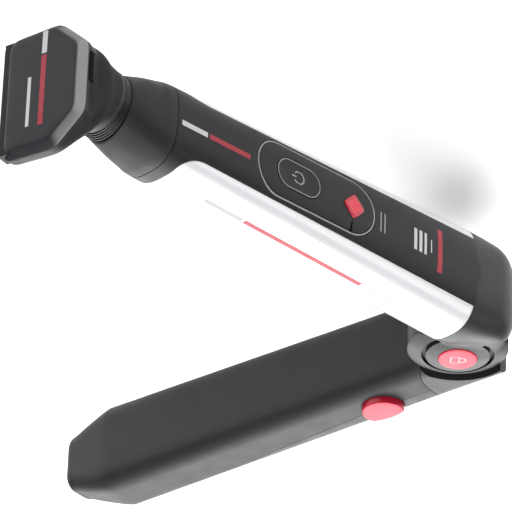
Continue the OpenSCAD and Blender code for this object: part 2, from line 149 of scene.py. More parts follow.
class Sheet:
    # patches of quads that are welded into one mesh
    def __init__(self):
        self.points, self.faces = [], []

    def grid(self, rows, wrap=False):
        start = len(self.points)
        for row in rows:
            self.points += row
        self.faces += gridFaces(len(rows), len(rows[0]), start, wrap)
        return start

    def cap(self, first, count, flip=False):
        ring = [first + i for i in range(count)]
        self.faces.append(tuple(reversed(ring)) if flip else tuple(ring))

    def piece(self, name, place=None, weld=0.004):
        mesh = bpy.data.meshes.new(name)
        mesh.from_pydata(self.points, [], self.faces)
        piece = bpy.data.objects.new(name, mesh)
        bpy.context.scene.collection.objects.link(piece)
        bm = bmesh.new()
        bm.from_mesh(mesh)
        bmesh.ops.remove_doubles(bm, verts=bm.verts, dist=weld)
        bmesh.ops.recalc_face_normals(bm, faces=bm.faces)
        bm.to_mesh(mesh)
        bm.free()
        mesh.transform(place or bodyFrame)
        return piece


def modified(piece, recipe):
    # applies a list of (modifier type, settings) and leaves a plain mesh
    for kind, settings in recipe:
        modifier = piece.modifiers.new(kind, kind)
        for key, value in settings.items():
            setattr(modifier, key, value)
    bpy.context.view_layer.update()
    mesh = bpy.data.meshes.new_from_object(piece.evaluated_get(bpy.context.evaluated_depsgraph_get()))
    piece.modifiers.clear()
    old = piece.data
    piece.data = mesh
    bpy.data.meshes.remove(old)
    return piece


def rounded(width, segments=3, angle=34):
    return ("BEVEL", {"width": width * 0.001, "segments": segments, "limit_method": "ANGLE",
                      "angle_limit": math.radians(angle), "use_clamp_overlap": True, "harden_normals": False})


def walled(thickness):
    return ("SOLIDIFY", {"thickness": thickness * 0.001, "offset": -1.0, "use_even_offset": False})


def cutBy(cutter, folded=False):
    # folded is for walls whose inner face crosses itself in tight corners
    return ("BOOLEAN", {"object": cutter, "operation": "DIFFERENCE", "solver": "EXACT", "use_self": folded})


def finished(piece, material, bodyName, replaced=(), crease=32):
    mesh = piece.data
    mesh.shade_smooth()
    mesh.set_sharp_from_angle(angle=math.radians(crease))
    mesh.materials.clear()
    for m in material if isinstance(material, (list, tuple)) else [material]:
        mesh.materials.append(m)
    if bodyName:
        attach(piece, bodyName)
    if replaced:
        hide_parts(*replaced)
    return piece


def turned(profile, count):
    # closed solid of revolution about Z: profile is [(radius, height), ...]
    sheet = Sheet()
    rows = []
    for r, h in profile:
        ring = []
        for i in range(count):
            a = 2 * math.pi * i / count
            ring.append((r * math.cos(a), r * math.sin(a), h))
        rows.append(ring)
    start = sheet.grid(rows, wrap=True)
    sheet.cap(start, count)
    sheet.cap(start + (len(profile) - 1) * count, count, True)
    return sheet


def dropped(*objects):
    for o in objects:
        bpy.data.objects.remove(o)


# materials
def linear(hexColour):
    out = []
    for i in (0, 2, 4):
        v = int(hexColour[i:i + 2], 16) / 255
        out.append(v / 12.92 if v <= 0.04045 else ((v + 0.055) / 1.055) ** 2.4)
    return (*out, 1.0)


def addNode(tree, kind, inputs=None, **settings):
    node = tree.nodes.new(kind)
    for key, value in settings.items():
        setattr(node, key, value)
    for key, value in (inputs or {}).items():
        if isinstance(value, bpy.types.NodeSocket):
            tree.links.new(value, node.inputs[key])
        else:
            node.inputs[key].default_value = value
    return node


def finish(name, look):
    # grain, mottle and bump are in mm; swing is how far the roughness wanders; brush stretches the grain
    m = bpy.data.materials.new(name)
    m.use_nodes = True
    tree = m.node_tree
    shader = tree.nodes["Principled BSDF"]
    place = addNode(tree, "ShaderNodeTexCoord").outputs["Object"]
    mottle = addNode(tree, "ShaderNodeTexNoise", {"Vector": place, "Scale": 1000 / look.get("mottle", 9),
                                                   "Detail": 3.0})
    colours = addNode(tree, "ShaderNodeMix", {"Factor": mottle.outputs["Fac"]}, data_type="RGBA")
    colours.inputs[6].default_value = linear(look["colour"])
    colours.inputs[7].default_value = linear(look.get("colour2", look["colour"]))
    tree.links.new(colours.outputs[2], shader.inputs["Base Color"])
    grain = addNode(tree, "ShaderNodeTexNoise", {"Scale": 1000 / look.get("grain", 0.5), "Detail": 2.0})
    if "brush" in look:     # brushed or drawn metal: the grain is stretched along one axis
        stretch = addNode(tree, "ShaderNodeMapping", {"Vector": place, "Scale": look["brush"]})
        tree.links.new(stretch.outputs[0], grain.inputs["Vector"])
    else:
        tree.links.new(place, grain.inputs["Vector"])
    rough = look["rough"]
    swing = look.get("swing", 0.06)
    polishAndPaintedHighlight = addNode(tree, "ShaderNodeMapRange", {"Value": mottle.outputs["Fac"], "From Min": 0.3,
                                                   "From Max": 0.7, "To Min": rough - swing,
                                                   "To Max": rough + swing})
    tree.links.new(polishAndPaintedHighlight.outputs[0], shader.inputs["Roughness"])
    if look.get("bump", 0):
        bump = addNode(tree, "ShaderNodeBump", {"Height": grain.outputs["Fac"], "Strength": 1.0,
                                                 "Distance": look["bump"] * 0.001})
        tree.links.new(bump.outputs[0], shader.inputs["Normal"])
    shader.inputs["Metallic"].default_value = look.get("metal", 0.0)
    shader.inputs["Specular IOR Level"].default_value = look.get("shine", 0.5)
    shader.inputs["Coat Weight"].default_value = look.get("coat", 0.0)
    shader.inputs["Coat Roughness"].default_value = look.get("coatRough", 0.08)
    return m


finishes = {
    # satin black ABS, moulded in a spark-eroded tool: a faint even grain that breaks up the reflections
    "satinBlackAbs": {"colour": "1d1d1e", "colour2": "222223", "rough": 0.4, "grain": 0.45, "bump": 0.01,
                      "shine": 0.2},
    # silver lacquer under clear coat: near white in the light, and slightly metallic
    "silverLacquer": {"colour": "cfd0d2", "colour2": "d3d4d6", "rough": 0.3, "metal": 0.15, "grain": 0.25,
                      "bump": 0.003, "coat": 0.6, "coatRough": 0.06, "mottle": 20, "swing": 0.03},
    # dark grey ABS with a fine moulded texture: the hinge, nose and tail
    "greyAbs": {"colour": "272728", "colour2": "2c2c2d", "rough": 0.42, "grain": 0.5, "bump": 0.012,
                "shine": 0.26},
    # the same plastic on the nose and the head's back, polished a little less
    "noseAbs": {"colour": "202021", "colour2": "252526", "rough": 0.46, "grain": 0.5, "bump": 0.012,
                "shine": 0.22},
    # soft-touch paint on the inner side of the handle: very even and matt
    "softTouch": {"colour": "232325", "colour2": "272729", "rough": 0.52, "grain": 0.35, "bump": 0.008,
                  "swing": 0.04, "shine": 0.26},
    # dark grey ABS of the arm and the handle's spine
    "spineAbs": {"colour": "29292a", "colour2": "2e2e2f", "rough": 0.44, "grain": 0.5, "bump": 0.012,
                 "shine": 0.26},
    # satin plastic with a cool cast on the head's flat face
    "coolSatin": {"colour": "242628", "colour2": "282a2d", "rough": 0.46, "grain": 0.4, "bump": 0.01,
                  "shine": 0.22},
    # near-black acetal for small parts, also laid in the hinge's groove and slot as painted shade
    "blackAcetalAndPaintedShade": {"colour": "0c0c0c", "colour2": "101010", "rough": 0.45, "grain": 0.4, "bump": 0.006,
                    "shine": 0.2},
    # red tinted polycarbonate, polished on its sides
    "redPolycarbonate": {"colour": "b4082a", "colour2": "bd0e30", "rough": 0.3, "grain": 0.6, "bump": 0.003,
                         "coat": 0.2},
    # the same plastic on the buttons' tops: rougher, and painted paler as a highlight where the light falls
    # on them
    "frostedRedPaintedHighlight": {"colour": "d84050", "colour2": "db4857", "rough": 0.5, "grain": 0.3, "bump": 0.006,
                   "shine": 0.3},
    # black silicone of the bellows and the seal
    "blackSilicone": {"colour": "0f0f10", "colour2": "141415", "rough": 0.36, "grain": 0.7, "bump": 0.008,
                      "shine": 0.3},
    # pad-printed inks
    "paleInk": {"colour": "c4c5c7", "colour2": "bcbdbf", "rough": 0.5, "grain": 0.3, "bump": 0.002},
    "redInk": {"colour": "9a1028", "colour2": "a0142c", "rough": 0.5, "grain": 0.3, "bump": 0.002},
    "paleRedInk": {"colour": "f0a0a0", "colour2": "f2a8a8", "rough": 0.5, "grain": 0.3, "bump": 0.002},
    "greyInk": {"colour": "8f9194", "colour2": "96989b", "rough": 0.5, "grain": 0.3, "bump": 0.002},
    # light grey lacquer in the keypad's inlaid line
    "greyInlay": {"colour": "8d8f92", "colour2": "95979a", "rough": 0.35, "grain": 0.3, "bump": 0.003,
                  "metal": 0.3},
    # ground steel: short fine lines along the part
    "groundSteel": {"colour": "b9bbbe", "colour2": "c2c4c7", "rough": 0.28, "metal": 1.0, "grain": 0.4,
                    "bump": 0.002, "brush": (1, 1, 0.08)},
    # bright drawn spring wire
    "springWire": {"colour": "c3c5c8", "colour2": "cbcdd0", "rough": 0.22, "metal": 1.0, "grain": 0.5,
                   "bump": 0.001},
    # thin electroformed nickel foil: bright, with faint lines along the cut
    "nickelFoil": {"colour": "cfd1d4", "colour2": "d6d8db", "rough": 0.2, "metal": 1.0, "grain": 0.3,
                   "bump": 0.002, "brush": (1, 1, 0.1)},
    # tinned and punched steel of the motor can, the screws and the switch cans
    "tinnedSteel": {"colour": "a9abae", "colour2": "b3b5b8", "rough": 0.38, "metal": 1.0, "grain": 0.8,
                    "bump": 0.004},
    # clear-anodised aluminium rail, extruded: long fine lines
    "anodisedRail": {"colour": "a3a5a9", "colour2": "abadb1", "rough": 0.36, "metal": 1.0, "grain": 0.35,
                     "bump": 0.003, "brush": (1, 0.12, 1)},
    # unfilled nylon: milky and slightly waxy
    "naturalNylon": {"colour": "dcdbd6", "colour2": "e3e2dd", "rough": 0.48, "grain": 0.8, "bump": 0.004},
    # grey glass-filled nylon of the inner frame
    "frameNylon": {"colour": "6d6f72", "colour2": "76787b", "rough": 0.6, "grain": 0.6, "bump": 0.02},
    # PVC shrink sleeve on the cell
    "shrinkSleeve": {"colour": "3c7650", "colour2": "427e57", "rough": 0.33, "grain": 1.2, "bump": 0.006},
    # solder resist on glass-epoxy: glossy, with a slight mottle
    "solderResist": {"colour": "1b4f35", "colour2": "215a3d", "rough": 0.35, "grain": 0.6, "bump": 0.006},
}
look = {name: finish(name, values) for name, values in finishes.items()}

# painted highlight: the head's face is mixed towards a paler grey on its chamfer next to the neck, where the
# light catches it
faceTree = look["coolSatin"].node_tree
faceShader = faceTree.nodes["Principled BSDF"]
faceColour = faceShader.inputs["Base Color"].links[0].from_socket
paintedHighlightMask = addNode(faceTree, "ShaderNodeAttribute", attribute_name="polishAndPaintedHighlight")
paintedHighlightMix = addNode(faceTree, "ShaderNodeMix", {"Factor": paintedHighlightMask.outputs["Fac"]}, data_type="RGBA")
faceTree.links.new(faceColour, paintedHighlightMix.inputs[6])
# the painted highlight's paler grey
paintedHighlightMix.inputs[7].default_value = linear("8c8d8f")
faceTree.links.new(paintedHighlightMix.outputs[2], faceShader.inputs["Base Color"])

nodeFinish = {
    "chassis": "frameNylon", "battery": "shrinkSleeve", "circuit_board": "solderResist",
    "tact_switches": "tinnedSteel", "charging_jack": "blackAcetalAndPaintedShade", "motor": "tinnedSteel",
    "attachment_collar": "blackAcetalAndPaintedShade", "seal_ring": "blackSilicone", "hinge_pin": "groundSteel",
    "hinge_base_cap": "greyAbs", "motor_shaft": "groundSteel", "drive_hub": "naturalNylon",
    "lock_plunger": "naturalNylon", "lock_spring": "springWire", "lock_bush": "groundSteel",
    "handle_rail": "anodisedRail", "rail_guides": "naturalNylon", "grip_screws": "tinnedSteel",
    "latch_pin": "groundSteel", "latch_spring": "springWire", "drive_shaft": "naturalNylon",
    "neck_ring": "greyAbs", "eccentric": "naturalNylon", "cutter_carrier": "naturalNylon",
    "cutter_blocks": "groundSteel", "foil_frame": "blackAcetalAndPaintedShade", "foil_pair": "nickelFoil",
    "head_clip": "blackAcetalAndPaintedShade", "body_screws": "tinnedSteel",
}
for name, finishName in nodeFinish.items():
    mesh = nodes[name].data
    mesh.materials.clear()
    mesh.materials.append(look[finishName])
print("materials: %d" % len(look))

# the body's covers
coverFractions = spread(-1, 1, 25)
keypad = {"x": 120.6, "straight": 21.5, "radius": 13.8}   # half length of the straight part, end radius


def coverEdge(x):
    return panelEdge(x) - body["gap"]


def panelEnd(v):
    # v goes across the side panel from its front edge (0) to its back edge (1)
    corner = min(1.0, v / 0.33)
    return body["panelCorner"] + 10.4 * math.sqrt(1 - (1 - corner) ** 2) + 2.2 * v


def sideAngle(x, v, inset=0.0):
    a, b = angleAtZ(x, panelEdge(x) + inset), angleAtY(body["panelBack"] - inset)
    return a + (b - a) * v


def pull(outer, straight, radius, centre):
    # the point on a stadium's outline that faces a point outside it
    px, pz = outer
    qx = min(centre + straight, max(centre - straight, px))
    d = math.hypot(px - qx, pz)
    return (qx + radius * (px - qx) / d, radius * pz / d)


def ringRows(outer, inner, steps, lift=0.0):
    rows = []
    for k in range(steps + 1):
        u = k / steps
        rows.append([onFront(o[0] + (i[0] - o[0]) * u, o[1] + (i[1] - o[1]) * u, lift)
                     for o, i in zip(outer, inner)])
    return rows


def makeFrontCover():
    sheet = Sheet()
    a, b, c = 82.0, 160.0, body["panelCorner"] - 0.2
    for x0, x1, count in ((body["tailSeam"] + body["gap"], a, 26), (b, c, 10)):
        sheet.grid([[onFront(x, f * coverEdge(x)) for f in coverFractions] for x in spread(x0, x1, count)])
    left = [(a, f * coverEdge(a)) for f in coverFractions[:-1]]
    top = [(x, coverEdge(x)) for x in spread(a, b, 33)[:-1]]
    right = [(b, -f * coverEdge(b)) for f in coverFractions[:-1]]
    bottom = [(x, -coverEdge(x)) for x in spread(b, a, 33)[:-1]]
    outer = left + top + right + bottom
    inner = [pull(p, keypad["straight"], keypad["radius"], keypad["x"]) for p in outer]
    sheet.grid(ringRows(outer, inner, 9), wrap=True)
    end = body["length"] - body["gap"]
    columns = 12
    sheet.grid([[onFront(x, f * coverEdge(x)) for f in coverFractions] for x in spread(c, end, columns)])
    for side in (1, -1):   # the band that runs round the sides, past the silver panels
        rows = []
        for v in spread(0, 1, 30):
            start = panelEnd(v) + body["gap"] if v > 0 else c
            row = []
            for x in spread(start, end, columns):
                p = bodyPoint(x, sideAngle(x, v, -body["gap"]))
                row.append((p[0], p[1], side * p[2]))
            rows.append(row)
        sheet.grid(rows)
    cover = sheet.piece("front_cover_shell", weld=0.02)
    modified(cover, [walled(body["wall"]), rounded(body["edge"])])
    return finished(cover, look["satinBlackAbs"], "housing", ["front_cover"])


def makeSidePanel(side, name, node):
    sheet = Sheet()
    rows = []
    for v in spread(0, 1, 44):
        row = []
        for u in spread(0, 1, 84):
            x = body["panelStart"] + u * (panelEnd(v) - body["panelStart"])
            p = bodyPoint(x, sideAngle(x, v))
            row.append((p[0], p[1], side * p[2]))
        rows.append(row)
    sheet.grid(rows)
    panel = sheet.piece(name)
    modified(panel, [walled(body["wall"]), rounded(0.35)])
    return finished(panel, look["silverLacquer"], "housing", [node])


def makeBackCover():
    sheet = Sheet()
    rows = []
    for x in spread(body["panelStart"] + body["gap"], body["length"] - body["gap"], 72):
        a = angleAtY(body["panelBack"] + body["gap"])
        rows.append([bodyPoint(x, t) for t in spread(a, 2 * math.pi - a, 40)])
    sheet.grid(rows)
    cover = sheet.piece("back_cover_shell")
    holes = [turned([(r, -3.0), (r, 3.0)], 48).piece("hole", bodyFrame @ Matrix.Translation((x, 1, z)) @
                                                     Matrix.Rotation(math.radians(90), 4, "X"))
             for x, z, r in ((36, 0, 3.1), (60, 9, 2.35), (60, -9, 2.35), (150, 9, 2.35), (150, -9, 2.35))]
    modified(cover, [walled(body["wall"])])
    modified(cover, [cutBy(h) for h in holes] + [rounded(0.22, 2, 40)])
    dropped(*holes)
    return finished(cover, look["satinBlackAbs"], "housing", ["back_cover"])


makeFrontCover()
makeSidePanel(1, "side_panel_left", "left_side_panel")
makeSidePanel(-1, "side_panel_right", "right_side_panel")
makeBackCover()
print("covers made")

# keypad
plate = {"radius": 12.5, "join": 112.0}
powerKey = {"x": 131.4, "straight": 5.6, "radius": 7.2, "hole": 7.5}
boostKey = {"x": 98.5, "hole": 6.3}


def halfPlate(side):
    # half of the keypad's outline: the join line first, then round the far end
    join, r = plate["join"], plate["radius"]
    end = keypad["x"] + side * keypad["straight"]
    centre = powerKey["x"] if side > 0 else boostKey["x"]
    line = [(join, z) for z in spread(-r, r, 15)[:-1]]
    stops = sorted([join, centre, end], key=lambda x: side * x)
    run = [x for i in (0, 1) for x in spread(stops[i], stops[i + 1], 9)[:-1]]
    arc = [(end + side * r * math.sin(t), r * math.cos(t)) for t in spread(0, math.pi, 33)[:-1]]
    back = [x for i in (1, 0) for x in spread(stops[i + 1], stops[i], 9)[:-1]]
    return line + [(x, r) for x in run] + arc + [(x, -r) for x in back]


def diamond(p, reach, centre):
    dx, dz = p[0] - centre, p[1]
    k = reach / (abs(dx) + abs(dz))
    return (centre + dx * k, dz * k)


def makeKeypadPlate():
    sheet = Sheet()
    outer = halfPlate(1)
    sheet.grid(ringRows(outer, [pull(p, powerKey["straight"], powerKey["hole"], powerKey["x"])
                                for p in outer], 7), wrap=True)
    outer = halfPlate(-1)
    sheet.grid(ringRows(outer, [diamond(p, boostKey["hole"], boostKey["x"]) for p in outer], 7), wrap=True)
    piece = sheet.piece("keypad_face")
    modified(piece, [walled(1.3), rounded(0.2)])
    return finished(piece, look["satinBlackAbs"], "housing", ["keypad_plate"])


def stadiumLoop(centre, straight, radius, lift, count=24):
    loop = [(centre + straight + radius * math.sin(t), radius * math.cos(t))
            for t in spread(0, math.pi, count)]
    loop += [(centre - straight - radius * math.sin(t), -radius * math.cos(t))
             for t in spread(0, math.pi, count)]
    return [onFront(x, z, lift) for x, z in loop]


def stadiumRing(name, centre, straight, radius, halfLine, height, bodyName, replaced=()):
    # thin inlaid line with a rounded top
    sheet = Sheet()
    section = [(halfLine, -0.8), (halfLine, height - 0.08), (halfLine - 0.1, height),
               (0.1 - halfLine, height), (-halfLine, height - 0.08), (-halfLine, -0.8)]
    rings = [stadiumLoop(centre, straight, radius + off, lift) for off, lift in section + section[:1]]
    sheet.grid(rings, wrap=True)
    piece = sheet.piece(name, weld=0.001)
    return finished(piece, look["greyInlay"], bodyName, replaced)


def makePowerButton():
    sheet = Sheet()
    r, s = powerKey["radius"], powerKey["straight"]
    profile = [(r, -2.6), (r, 0.05), (r - 0.12, 0.2), (r - 0.35, 0.26), (r - 1.4, 0.22), (r - 3.4, 0.08),
               (r - 5.4, 0.0), (0.05, 0.0)]
    rings = [stadiumLoop(powerKey["x"], s, radius, lift) for radius, lift in profile]
    start = sheet.grid(rings, wrap=True)
    count = len(rings[0])
    sheet.cap(start, count)
    sheet.cap(start + (len(profile) - 1) * count, count, True)
    piece = sheet.piece("power_key", weld=0.001)
    return finished(piece, look["satinBlackAbs"], "power_key", ["power_button"])


def makeBoostButton():
    sheet = Sheet()
    profile = [(6.0, -2.4), (6.0, 0.35), (5.85, 0.55), (5.2, 0.78), (4.2, 0.74), (2.0, 0.7), (0.1, 0.7)]
    rings = []
    for reach, lift in profile:
        loop = []
        for i in range(48):
            t = 2 * math.pi * (i + 0.5) / 48
            cx, cz = math.cos(t), math.sin(t)
            k = reach / (abs(cx) ** 1.12 + abs(cz) ** 1.12) ** (1 / 1.12)   # a diamond with soft corners
            loop.append(onFront(boostKey["x"] + cx * k, cz * k, lift))
        rings.append(loop)
    start = sheet.grid(rings, wrap=True)
    sheet.cap(start, 48)
    sheet.cap(start + (len(profile) - 1) * 48, 48, True)
    piece = sheet.piece("boost_key", weld=0.001)
    return finished(piece, [look["redPolycarbonate"], look["frostedRedPaintedHighlight"]], "boost_key", ["boost_button"])


makeKeypadPlate()
stadiumRing("keypad_line", keypad["x"], keypad["straight"], 13.15, 0.3, 0.12, "housing", ["keypad_trim"])
stadiumRing("power_line", powerKey["x"], powerKey["straight"], 6.75, 0.2, 0.34, "power_key")
makePowerButton()
makeBoostButton()
print("keypad made")

# tail and hinge
hinge = {
    "earRadius": 22.9, "slotRadius": 25.6, "slotHalf": 9.6, "top": 24.2, "rim": 18.5,
    "tailRadius": 20.4, "tailX": 6.0, "tailY": -13.3, "wellRadius": 9.08,
    "grooveIn": 14.6, "grooveOut": 16.6, "seamX": 21.55, "base": 16.3,
    "foot": 21.6,                                     # half height of the tail at the hinge
    "footX": 0.61, "footY": -0.79, "footAway": 7.9,   # the line where the body's slope meets the hinge's top
}
frontY = body["middleY"] - body["halfDepth"]
backY = body["middleY"] + body["halfDepth"]


def insideTail(x, y):
    if x > hinge["seamX"] or y < frontY or y > backY:
        return False
    return x >= hinge["tailX"] or math.hypot(x - hinge["tailX"], y - hinge["tailY"]) <= hinge["tailRadius"]


def tailReach(a):
    # how far the tail's outline is from the hinge axis in direction a
    low, high = 0.0, 60.0
    for _ in range(40):
        mid = 0.5 * (low + high)
        if insideTail(mid * math.cos(a), mid * math.sin(a)):
            low = mid
        else:
            high = mid
    return low


def earTop(r):
    return hinge["top"] - (hinge["top"] - hinge["rim"]) * (r / hinge["earRadius"]) ** 2


def tailTop(x, y):
    if x >= hinge["tailX"]:
        inward = y - frontY
    else:
        inward = hinge["tailRadius"] - math.hypot(x - hinge["tailX"], y - hinge["tailY"])
    q = max(0.0, 1 - inward / body["halfDepth"], (y - body["middleY"]) / body["halfDepth"])
    q = min(q, 1.0)
    away = hinge["footX"] * x + hinge["footY"] * y - hinge["footAway"]
    full = max(1.5, hinge["footX"] * hinge["seamX"] + hinge["footY"] * y - hinge["footAway"])
    climb = min(1.0, max(0.0, away / full))
    climb = 0.55 * smooth(climb) + 0.45 * climb
    height = hinge["foot"] + (halfWidth(x) - hinge["foot"]) * climb
    square = body["square"] + 0.9 * (1 - climb)
    return height * (1 - q ** square) ** (1 / square)


def softMax(a, b, k):
    h = max(0.0, k - abs(a - b)) / k
    return max(a, b) + h * h * k * 0.25


def makeTail():
    steps = 60
    rows = []
    seam = [bodyPoint(hinge["seamX"], t)[1] for t in spread(0, math.pi, 60)]
    angles = [math.atan2(y, hinge["seamX"]) for y in seam if y < backY - 0.02]
    angles += [math.atan2(frontY, x) for x in spread(hinge["seamX"] - 0.3, hinge["tailX"], 26)]
    first, last = max(angles), min(angles)
    angles += spread(first, last + 2 * math.pi, 230)[1:-1]
    angles = sorted(a % (2 * math.pi) for a in angles)
    for a in angles:
        c, s = math.cos(a), math.sin(a)
        tail = tailReach(a)
        ear = hinge["earRadius"]
        beyondSeam = ear * c > hinge["seamX"] and ear * s < backY
        reach = tail if beyondSeam else max(tail, ear)
        column = []
        for i in range(steps + 1):
            u = i / steps
            r = reach * (1 - (1 - u) ** 1.9) if u < 1 else reach
            x, y = r * c, r * s
            height = tailTop(x, y) if r <= tail + 1e-6 else 0.0
            if r <= ear + 1e-6:
                height = softMax(height, earTop(min(r, ear)), 2.6) if height > 1 else earTop(min(r, ear))
            column.append((x, y, height))
        edge = column[-1][2]
        column += [(reach * c, reach * s, edge * k) for k in (0.9, 0.75, 0.55, 0.3)]
        rows.append(column)
    count = len(rows[0])
    sheet = Sheet()
    full = [[(0.0, 0.0, r[0][2])] + r[1:] + [(p[0], p[1], 0.0) for p in r[-1:]] +
            [(p[0], p[1], -p[2]) for p in reversed(r[1:])] + [(0.0, 0.0, -r[0][2])] for r in rows]
    columnsAround = [[row[i] for row in full] for i in range(len(full[0]))]
    sheet.grid(columnsAround, wrap=True)
    return sheet.piece("tail_shell", weld=0.003)


def ringCutter(name, inner, outer, low, high, start, stop, count=120):
    # part of a square-section ring, angles in degrees
    sheet = Sheet()
    rows = []
    for a in spread(math.radians(start), math.radians(stop), count):
        c, s = math.cos(a), math.sin(a)
        rows.append([(inner * c, inner * s, low), (outer * c, outer * s, low),
                     (outer * c, outer * s, high), (inner * c, inner * s, high)])
    first = sheet.grid(rows, wrap=True)
    sheet.cap(first, 4)
    sheet.cap(first + 4 * (count - 1), 4, True)
    return sheet.piece(name)


tailShell = makeTail()
cutters = [
    turned([(hinge["slotRadius"], h) for h in (-hinge["slotHalf"], hinge["slotHalf"])], 192).piece("slot"),
    turned([(hinge["wellRadius"], hinge["slotHalf"] - 1), (hinge["wellRadius"], 30)], 96).piece("well"),
    turned([(hinge["base"], -19.2), (hinge["base"], -30)], 128).piece("under"),
    ringCutter("groove", hinge["grooveIn"], hinge["grooveOut"], 19.6, 30, -14, 268),
]
modified(tailShell, [cutBy(c) for c in cutters] + [rounded(0.25, 3, 38)])
dropped(*cutters)
finished(tailShell, [look["greyAbs"], look["blackAcetalAndPaintedShade"]], "housing", ["tail_housing", "hinge_cap"])
for face in tailShell.data.polygons:   # painted shade: the groove's floor and outer wall, and the slot, get the near-black material where they lie in shade
    r = math.hypot(face.center.x, face.center.y) * 1000
    z = (face.center.z - middleZ) * 1000
    inGroove = z > 19.55 and hinge["grooveIn"] + 0.3 < r < hinge["grooveOut"] + 0.02 and z < earTop(r) - 0.15
    outward = face.normal.x * face.center.x + face.normal.y * face.center.y
    inSlot = abs(z) < hinge["slotHalf"] + 0.05 and r < hinge["slotRadius"] + 0.1
    face.material_index = 1 if (inGroove and outward < 1e-5) or inSlot else 0

lockProfile = [(0.02, 13.3), (6.2, 13.3), (8.9, 13.3), (9.0, 13.4), (9.0, 23.1), (8.9, 23.5), (8.65, 23.8),
               (8.3, 23.94), (7.9, 24.0), (6.0, 24.06), (3.0, 24.1), (0.02, 24.1)]
lockButton = turned(lockProfile, 128).piece("hinge_lock_button", weld=0.001)
finished(lockButton, [look["redPolycarbonate"], look["frostedRedPaintedHighlight"]], "hinge_lock", ["lock_button"])
# painted highlight: the button's top face gets the paler red
for face in lockButton.data.polygons:
    height = face.center.z * 1000 - middleZ * 1000
    radius = math.hypot(face.center.x, face.center.y) * 1000
    face.material_index = 1 if height > 23.7 and radius < 8.5 else 0
# painted highlight: the key's top faces get the paler red
for face in bpy.data.objects["boost_key"].data.polygons:
    radius = abs(face.center.x * 1000 - boostKey["x"]) + abs(face.center.z - middleZ) * 1000
    face.material_index = 1 if radius < 4.3 and face.normal.y < -0.7 else 0
print("tail and hinge made")

# handle
grip = {
    "inner": 2.8, "outer": 29.4, "outerEnd": 31.0, "half": 20.6, "halfEnd": 23.2, "start": 30.0,
    "length": 241.0, "taperStart": 213.0, "partingEnd": 186.0, "crown": 0.5,
    "tipRound": 5.0,         # length of the rounding at the free end
}


def gripSize(d):
    # inner face, outer face, half width, inner and outer corner radius at distance d from the hinge
    k = (d - grip["start"]) / (grip["taperStart"] - grip["start"])
    w0, w1 = grip["inner"], grip["outer"] + (grip["outerEnd"] - grip["outer"]) * k
    h = grip["half"] + (grip["halfEnd"] - grip["half"]) * k
    ri, ro = 8 + k, 4 + 2 * k
    if d <= grip["taperStart"]:
        return w0, w1, h, ri, ro
    e = min(1.0, (d - grip["taperStart"]) / (grip["length"] - grip["tipRound"] - grip["taperStart"]))
    soft = e ** 1.15
    w0, w1, h = grip["inner"] + 3 * soft, grip["outerEnd"] - 5 * soft, grip["halfEnd"] - 7.8 * soft
    ri, ro = 9 - 2 * soft, 6.0
    if d > grip["length"] - grip["tipRound"]:
        f = (d - (grip["length"] - grip["tipRound"])) / grip["tipRound"]
        f = 1 - math.sqrt(max(0.0, 1 - f * f))
        w0, w1, h = w0 + 4.0 * f, w1 - 4.6 * f, h - 5.2 * f
        ri, ro = 7 - 2.6 * f, 6 - 1.8 * f
    return w0, w1, h, ri, ro


def partingAt(d):
    # across the handle, where the spine meets the inner shell
    return 20.5 + max(0.0, d - 66) / 120 * 7.4


def gripSection(d):
    # half of the section from the outer face's middle to the inner face's middle, on the +Z side, (w, z)
    w0, w1, h, ri, ro = gripSize(d)
    parting = min(partingAt(d), w1 - 1.2)
    pts = []
    for z in spread(0, h - ro, 7)[:-1]:
        pts.append((w1 + grip["crown"] * (1 - (z / h) ** 2) - grip["crown"], z))
    for t in spread(0, math.pi / 2, 9):
        pts.append((w1 - ro + ro * math.cos(t), h - ro + ro * math.sin(t)))
    outer = [p for p in pts if p[0] > parting]
    lead = resample(outer + [(parting, zOnSection(parting, w1, h, ro))], 20)
    pts = [(parting, zOnSection(parting, w1, h, ro))] + [p for p in pts if p[0] < parting - 0.01]
    for w in spread(min(pts[-1][0], w1 - ro) - 0.01, w0 + ri, 6)[1:-1]:
        pts.append((w, h))
    for t in spread(0, math.pi / 2, 11):
        pts.append((w0 + ri - ri * math.sin(t), h - ri + ri * math.cos(t)))
    for z in spread(h - ri, 0, 9)[1:]:
        pts.append((w0 + 0.35 * (1 - (z / h) ** 2) - 0.35, z))
    return lead, resample(pts, 40)


def zOnSection(w, w1, h, ro):
    if w <= w1 - ro:
        return h
    return h - ro + math.sqrt(max(0.0, ro * ro - (w - w1 + ro) ** 2))


def resample(points, count):
    # evenly spaced points along a polyline
    lengths = [0.0]
    for a, b in zip(points, points[1:]):
        lengths.append(lengths[-1] + math.hypot(b[0] - a[0], b[1] - a[1]))
    out, k = [], 0
    for target in spread(0, lengths[-1], count):
        while k < len(points) - 2 and lengths[k + 1] < target:
            k += 1
        span = lengths[k + 1] - lengths[k] or 1.0
        u = min(1.0, max(0.0, (target - lengths[k]) / span))
        out.append((points[k][0] + (points[k + 1][0] - points[k][0]) * u,
                    points[k][1] + (points[k + 1][1] - points[k][1]) * u))
    return out


def seamBend(w):
    # the joint between arm and grip curves towards the hinge on the inner side
    return 6.5 * max(0.0, (20.4 - w) / 17.6) ** 2


def gripRow(d, partOnly=None):
    lead, rest = gripSection(d)
    both = {"spine": lead, "inner": rest}[partOnly] if partOnly else lead[:-1] + rest
    near = smooth((60 - d) / 30)
    shift = [near * seamBend(w) for w, _ in both]
    upper = [(d - s, w, z) for (w, z), s in zip(both, shift)]
    lower = [(p[0], p[1], -p[2]) for p in upper]
    if partOnly == "spine":
        return list(reversed(lower))[:-1] + upper
    return upper + list(reversed(lower))[1:]


